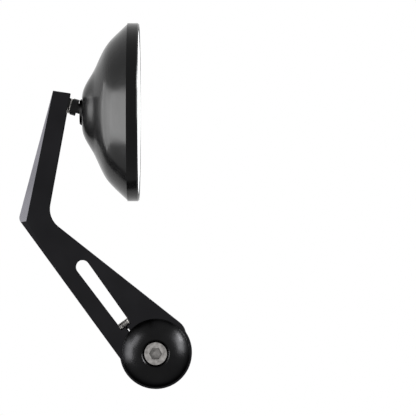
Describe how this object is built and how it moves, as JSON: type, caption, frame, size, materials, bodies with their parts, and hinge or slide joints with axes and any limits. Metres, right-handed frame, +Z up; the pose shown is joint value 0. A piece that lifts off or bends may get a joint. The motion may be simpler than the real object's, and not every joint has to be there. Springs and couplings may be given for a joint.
{
  "type": "motorcycle bar end mirror",
  "caption": "Round convex mirror on a cranked, slotted arm with a split clamp ring, ball joint, domed end cap and expander for the end of a tubular handlebar.",
  "frame": {"origin": "on the handlebar axis, in the plane of the handlebar's end face", "axes": "+Y along the bar axis into the handlebar, +Z up, +X rearward, the way the glass faces"},
  "size_m": [0.0925, 0.096, 0.1961],
  "materials": {
    "arm": "satin black anodised",
    "cap": "satin black anodised, turned",
    "shell": "satin black anodised",
    "socket": "black, smooth",
    "sleeve": "black, smooth",
    "stud": "black oxide, the thread bright",
    "stainless": "bright, turned",
    "cone": "zinc plated",
    "jaw": "turned",
    "seal": "black",
    "nylon": "natural nylon",
    "spring": "spring steel",
    "plate": "zinc plated",
    "carrier": "black, moulded",
    "pad": "foam tape",
    "glass": "polished convex mirror"
  },
  "bodies": {
    "insert": {"end_cap": "cap", "cap_screw": "stainless", "cap_washer": "stainless", "front_cone": "cone", "expander_jaw_1": "jaw", "expander_jaw_2": "jaw", "expander_jaw_3": "jaw", "o_ring_outboard": "seal", "o_ring_inboard": "seal", "rear_cone": "cone"},
    "arm": {"arm": "arm", "pinch_screw": "stainless", "pinch_washer": "stainless", "ball_stud": "stud", "stud_boot": "sleeve"},
    "liner": {"ball_liner": "nylon"},
    "cup": {"pressure_cup": "nylon"},
    "head": {"socket_ring": "socket", "head_housing": "shell", "disc_spring": "spring", "clamp_plate": "plate", "clamp_screw_1": "stainless", "clamp_screw_2": "stainless", "clamp_screw_3": "stainless", "glass_carrier": "carrier", "adhesive_pad": "pad", "rim_gasket": "seal", "mirror_glass": "glass"}
  },
  "joints": [
    {"name": "arm_swivel", "type": "hinge", "parent": "insert", "child": "arm", "pos_m": [0, 0, 0], "axis": [0, 1, 0], "continuous": true},
    {"name": "head_yaw", "type": "hinge", "parent": "arm", "child": "liner", "pos_m": [-0.03493, -0.00725, 0.129], "axis": [0, 0, 1], "range_deg": [-10, 10]},
    {"name": "head_pitch", "type": "hinge", "parent": "liner", "child": "cup", "pos_m": [-0.03493, -0.00725, 0.129], "axis": [0, 1, 0], "range_deg": [-5, 38]},
    {"name": "head_spin", "type": "hinge", "parent": "cup", "child": "head", "pos_m": [-0.03493, -0.00725, 0.129], "axis": [1, 0, 0], "continuous": true}
  ]
}
